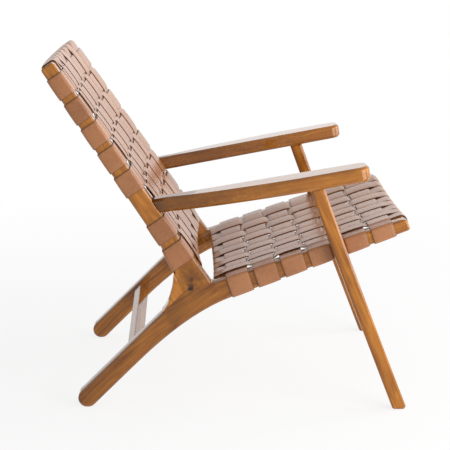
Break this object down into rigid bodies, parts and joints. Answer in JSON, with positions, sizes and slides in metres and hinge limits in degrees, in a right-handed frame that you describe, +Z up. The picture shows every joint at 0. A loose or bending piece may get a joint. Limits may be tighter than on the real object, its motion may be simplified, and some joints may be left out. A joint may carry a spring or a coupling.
{
  "type": "lounge chair",
  "caption": "Low lounge chair with a solid wood frame, splayed legs and flat armrests, its reclined back and its seat woven from wide leather straps.",
  "frame": {"origin": "on the floor, under the middle of the chair's bounding box", "axes": "+X towards the front of the seat, +Y to the chair's own left, +Z up"},
  "size_m": [0.7728, 0.638, 0.7304],
  "materials": {
    "honey_wood": "satin lacquer over a honey brown hardwood",
    "dark_wood": "satin lacquer over a darker brown hardwood",
    "tan_leather": "smooth tan saddle leather with dark cut edges",
    "zinc_steel": "zinc plated"
  },
  "bodies": {
    "root": {"arm_front_dowel_left": "honey_wood", "arm_front_dowel_right": "honey_wood", "arm_rear_dowel_left": "honey_wood", "arm_rear_dowel_right": "honey_wood", "armrest_left": "honey_wood", "armrest_right": "honey_wood", "back_bottom_rail": "honey_wood", "back_stile_left": "honey_wood", "back_stile_right": "honey_wood", "back_top_rail": "honey_wood", "back_warp_strap_1": "tan_leather", "back_warp_strap_2": "tan_leather", "back_warp_strap_3": "tan_leather", "back_warp_strap_4": "tan_leather", "back_warp_strap_5": "tan_leather", "back_warp_strap_6": "tan_leather", "back_warp_strap_7": "tan_leather", "back_warp_strap_8": "tan_leather", "back_warp_strap_9": "tan_leather", "back_weft_strap_1": "tan_leather", "back_weft_strap_2": "tan_leather", "back_weft_strap_3": "tan_leather", "back_weft_strap_4": "tan_leather", "back_weft_strap_5": "tan_leather", "back_weft_strap_6": "tan_leather", "back_weft_strap_7": "tan_leather", "back_weft_strap_8": "tan_leather", "corner_block_left": "honey_wood", "corner_block_right": "honey_wood", "front_leg_bolt_left": "zinc_steel", "front_leg_bolt_right": "zinc_steel", "front_leg_left": "honey_wood", "front_leg_right": "honey_wood", "rear_leg_and_side_rail_left": "dark_wood", "rear_leg_and_side_rail_right": "dark_wood", "rear_stretcher": "dark_wood", "seat_front_rail": "honey_wood", "seat_rear_rail": "honey_wood", "seat_warp_strap_1": "tan_leather", "seat_warp_strap_2": "tan_leather", "seat_warp_strap_3": "tan_leather", "seat_warp_strap_4": "tan_leather", "seat_warp_strap_5": "tan_leather", "seat_warp_strap_6": "tan_leather", "seat_warp_strap_7": "tan_leather", "seat_warp_strap_8": "tan_leather", "seat_warp_strap_9": "tan_leather", "seat_weft_strap_1": "tan_leather", "seat_weft_strap_2": "tan_leather", "seat_weft_strap_3": "tan_leather", "seat_weft_strap_4": "tan_leather", "seat_weft_strap_5": "tan_leather", "seat_weft_strap_6": "tan_leather", "stile_front_dowel_left": "honey_wood", "stile_front_dowel_right": "honey_wood", "stile_rear_dowel_left": "honey_wood", "stile_rear_dowel_right": "honey_wood"}
  },
  "joints": []
}
